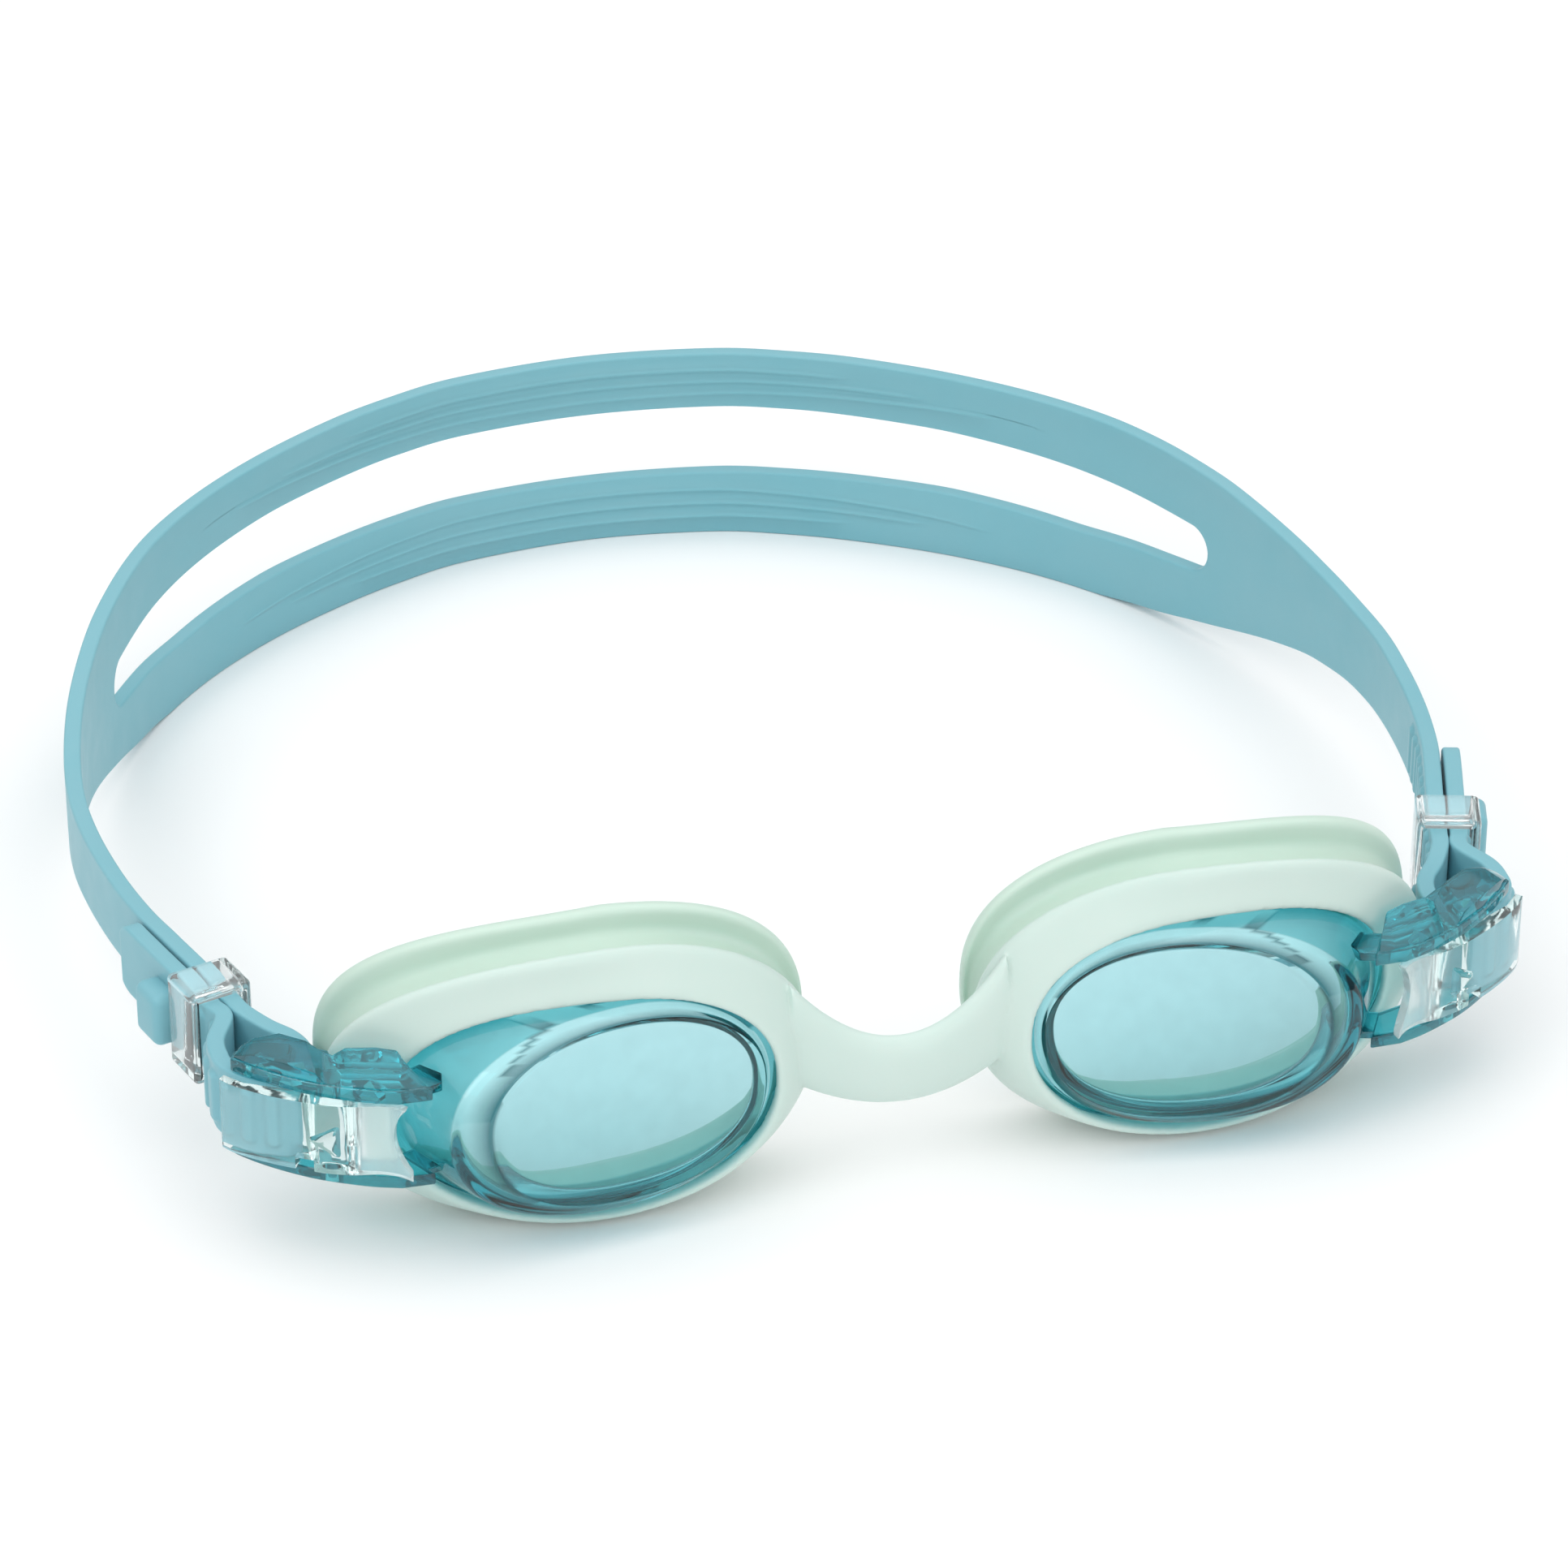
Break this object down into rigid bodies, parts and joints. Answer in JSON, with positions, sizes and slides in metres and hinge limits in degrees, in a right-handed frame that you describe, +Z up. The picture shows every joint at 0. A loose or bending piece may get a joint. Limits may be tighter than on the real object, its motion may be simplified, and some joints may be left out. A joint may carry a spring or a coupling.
{
  "type": "swim goggles",
  "caption": "Swim goggles with cup lenses, a one-piece silicone frame and nose bridge, a split head strap and cam-lever buckles on the temple arms.",
  "frame": {"origin": "centre of the bounding box in plan, at the surface that the goggles rest on", "axes": "+X to the right seen from the front, +Y back from the lenses to the head strap, +Z up"},
  "size_m": [0.1666, 0.1678, 0.036],
  "materials": {
    "frame_silicone": "matt pale mint silicone",
    "gasket_silicone": "matt pale green silicone",
    "tinted_lens": "clear teal tint, polished",
    "clear_plastic": "clear, moulded",
    "strap_silicone": "matt blue-teal silicone"
  },
  "bodies": {
    "goggles": {"frame": "frame_silicone", "gasket_left": "gasket_silicone", "gasket_right": "gasket_silicone", "lens_left": "tinted_lens", "lens_right": "tinted_lens", "strap": "strap_silicone"},
    "lever_left": {"lever_left": "clear_plastic"},
    "lever_right": {"lever_right": "clear_plastic"},
    "keeper_left": {"keeper_left": "clear_plastic"},
    "keeper_right": {"keeper_right": "clear_plastic"}
  },
  "joints": [
    {"name": "lever_right_release", "type": "hinge", "parent": "goggles", "child": "lever_right", "pos_m": [0.0652, -0.07542, 0.0163], "axis": [0, 0, -1], "range_deg": [0, 12], "stiffness_Nm_per_rad": 0.1},
    {"name": "lever_left_release", "type": "hinge", "parent": "goggles", "child": "lever_left", "pos_m": [-0.0652, -0.07542, 0.0163], "axis": [0, 0, 1], "range_deg": [0, 12], "stiffness_Nm_per_rad": 0.1},
    {"name": "keeper_right_slide", "type": "slide", "parent": "goggles", "child": "keeper_right", "axis": [-0.29, -0.957, 0], "range_m": [0, 0.002]},
    {"name": "keeper_left_slide", "type": "slide", "parent": "goggles", "child": "keeper_left", "axis": [0.29, -0.957, 0], "range_m": [0, 0.002]}
  ]
}
